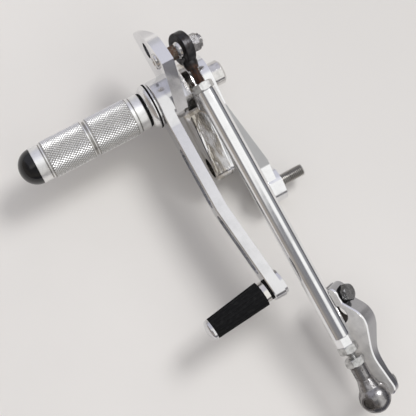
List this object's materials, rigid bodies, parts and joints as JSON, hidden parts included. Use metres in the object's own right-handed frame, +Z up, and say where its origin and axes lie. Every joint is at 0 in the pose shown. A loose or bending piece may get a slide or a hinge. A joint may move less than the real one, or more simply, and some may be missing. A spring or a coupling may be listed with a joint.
{
  "type": "rear set footrest",
  "caption": "Motorbike rear set: bracket with fixed knurled footpeg, polished gear lever with toe peg, shift rod with eye and ball joint, and clamp-on gearbox crank.",
  "frame": {"origin": "frame bolt's axis on the bracket's inboard face, which bolts against the motorbike's frame", "axes": "+X outboard along the footpeg, +Y forward along the gear lever, +Z up"},
  "size_m": [0.1644, 0.2824, 0.082],
  "materials": {
    "polished_aluminium": "mirror polished",
    "satin_aluminium": "fine knurled and turned",
    "cast_aluminium": "as cast with polished rims",
    "zinc_steel": "dull zinc plate",
    "chrome_steel": "bright plate",
    "worn_steel": "worn plate with rust specks",
    "rusty_steel": "rusted",
    "black_steel": "oiled black",
    "black_rubber": "matt",
    "black_plastic": "gloss",
    "bush_bronze": "plain bearing"
  },
  "bodies": {
    "bracket": {"mounting_bracket": "polished_aluminium", "frame_bolt": "black_steel", "frame_washer": "zinc_steel", "pivot_spindle": "satin_aluminium", "inner_thrust_washer": "zinc_steel", "outer_thrust_washer": "zinc_steel", "footpeg_bolt": "chrome_steel", "footpeg_base": "polished_aluminium", "pivot_o_ring": "black_rubber", "footpeg_barrel": "satin_aluminium", "peg_o_ring": "black_rubber", "footpeg_end_cap": "black_plastic"},
    "lever": {"gear_lever": "polished_aluminium", "pivot_bush": "bush_bronze", "toe_peg_spindle": "polished_aluminium", "toe_peg_o_ring": "black_rubber", "toe_peg_rubber": "black_rubber", "toe_peg_cap": "polished_aluminium", "rod_eye_bolt": "chrome_steel", "rod_eye_spacer": "rusty_steel", "rod_eye_ball": "chrome_steel", "rod_eye_washer": "zinc_steel", "rod_eye_nut": "zinc_steel"},
    "link": {"rod_eye_housing": "rusty_steel", "upper_lock_nut": "zinc_steel", "shift_rod": "polished_aluminium", "lower_lock_nut": "zinc_steel", "socket_stud": "zinc_steel", "socket_lock_nut": "zinc_steel", "ball_socket": "worn_steel", "socket_disc": "worn_steel"},
    "crank": {"ball_stud": "chrome_steel", "stud_washer": "zinc_steel", "stud_nut": "zinc_steel", "crank_arm": "cast_aluminium", "pinch_washer": "black_rubber", "pinch_bolt": "black_steel"}
  },
  "joints": [
    {"name": "lever_pivot", "type": "hinge", "parent": "bracket", "child": "lever", "pos_m": [0.035, -0.079, 0.026], "axis": [1, 0, 0], "range_deg": [-9, 9]},
    {"name": "rod_swing", "type": "hinge", "parent": "lever", "child": "link", "pos_m": [0.0246, -0.09563, 0.056], "axis": [1, 0, 0], "range_deg": [-9.5, 45]},
    {"name": "crank_swing", "type": "hinge", "parent": "link", "child": "crank", "pos_m": [0.0198, 0.1478, 0.0252], "axis": [0.7659, 0.0955, 0.6358], "range_deg": [-45, 45]}
  ]
}
